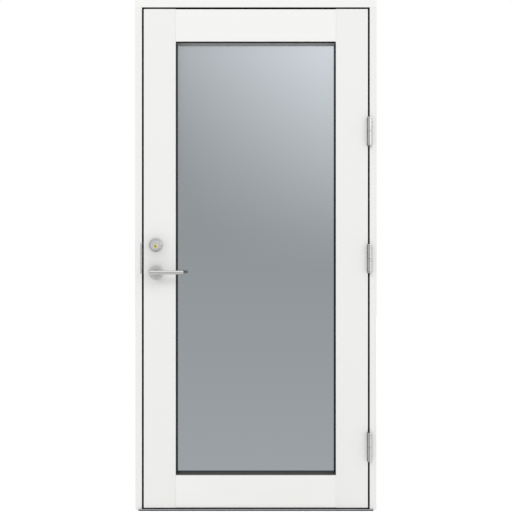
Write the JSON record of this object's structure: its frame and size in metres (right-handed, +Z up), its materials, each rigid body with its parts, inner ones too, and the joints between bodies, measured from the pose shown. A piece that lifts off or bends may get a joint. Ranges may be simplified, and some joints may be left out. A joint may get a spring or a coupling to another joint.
{
  "type": "glazed balcony door",
  "caption": "Outward-opening timber balcony door with one full-height glazed leaf, rebated frame, low threshold, lift-off hinges and lever handles.",
  "frame": {"origin": "on the floor under the frame, at the middle of its width and of its depth", "axes": "+X to the right as seen from outside, towards the hinges; +Y into the building; +Z up"},
  "size_m": [0.99, 0.201, 2.09],
  "materials": {
    "white_paint": "factory-sprayed white paint on softwood, low sheen",
    "threshold_metal": "dark anodised extrusion",
    "threshold_wood": "oiled hardwood",
    "black_rubber": "matt black extruded rubber",
    "glass": "coated double glazing, mirror-like from outside",
    "spacer_bar": "dark spacer bar",
    "hinge_metal": "satin nickel plated",
    "pin_steel": "plain ground steel",
    "lock_steel": "brushed stainless",
    "handle_metal": "satin chrome",
    "plug_brass": "turned brass"
  },
  "bodies": {
    "frame": {"frame_head": "white_paint", "frame_jamb_lock": "white_paint", "frame_jamb_hinge": "white_paint", "threshold_plate": "threshold_metal", "threshold_block": "threshold_wood", "frame_seal": "black_rubber", "threshold_seal": "black_rubber", "strike_plate": "lock_steel", "hinge_frame_half_top": "hinge_metal", "hinge_frame_half_middle": "hinge_metal", "hinge_frame_half_bottom": "hinge_metal", "hinge_pin_top": "pin_steel", "hinge_pin_middle": "pin_steel", "hinge_pin_bottom": "pin_steel"},
    "leaf": {"leaf_stile_lock": "white_paint", "leaf_stile_hinge": "white_paint", "leaf_rail_top": "white_paint", "leaf_rail_bottom": "white_paint", "glazing_lining": "black_rubber", "glass_outer_pane": "glass", "glass_spacer": "spacer_bar", "glass_inner_pane": "glass", "glazing_gasket": "black_rubber", "glazing_bead_top": "white_paint", "glazing_bead_bottom": "white_paint", "glazing_bead_lock": "white_paint", "glazing_bead_hinge": "white_paint", "lock_faceplate": "lock_steel", "latch_bolt": "lock_steel", "dead_bolt": "lock_steel", "hinge_leaf_half_top": "hinge_metal", "hinge_leaf_half_middle": "hinge_metal", "hinge_leaf_half_bottom": "hinge_metal", "rose_outer": "handle_metal", "rose_inner": "handle_metal", "cylinder_ring_outer": "handle_metal", "cylinder_ring_inner": "handle_metal", "lock_cylinder": "handle_metal", "key_plug_inner": "plug_brass"},
    "levers": {"lever_outer": "handle_metal", "lever_inner": "handle_metal", "lever_spindle": "pin_steel"},
    "key_plug": {"key_plug_outer": "plug_brass"}
  },
  "joints": [
    {"name": "leaf_swing", "type": "hinge", "parent": "frame", "child": "leaf", "pos_m": [0.463, -0.0675, 0], "axis": [0, 0, 1], "range_deg": [0, 110]},
    {"name": "lever_turn", "type": "hinge", "parent": "leaf", "child": "levers", "pos_m": [-0.41, 0, 0.975], "axis": [0, 1, 0], "range_deg": [0, 45], "stiffness_Nm_per_rad": 1.5, "springref_deg": -28.65},
    {"name": "key_turn", "type": "hinge", "parent": "leaf", "child": "key_plug", "pos_m": [-0.41, -0.05, 1.082], "axis": [0, 1, 0], "continuous": true}
  ]
}
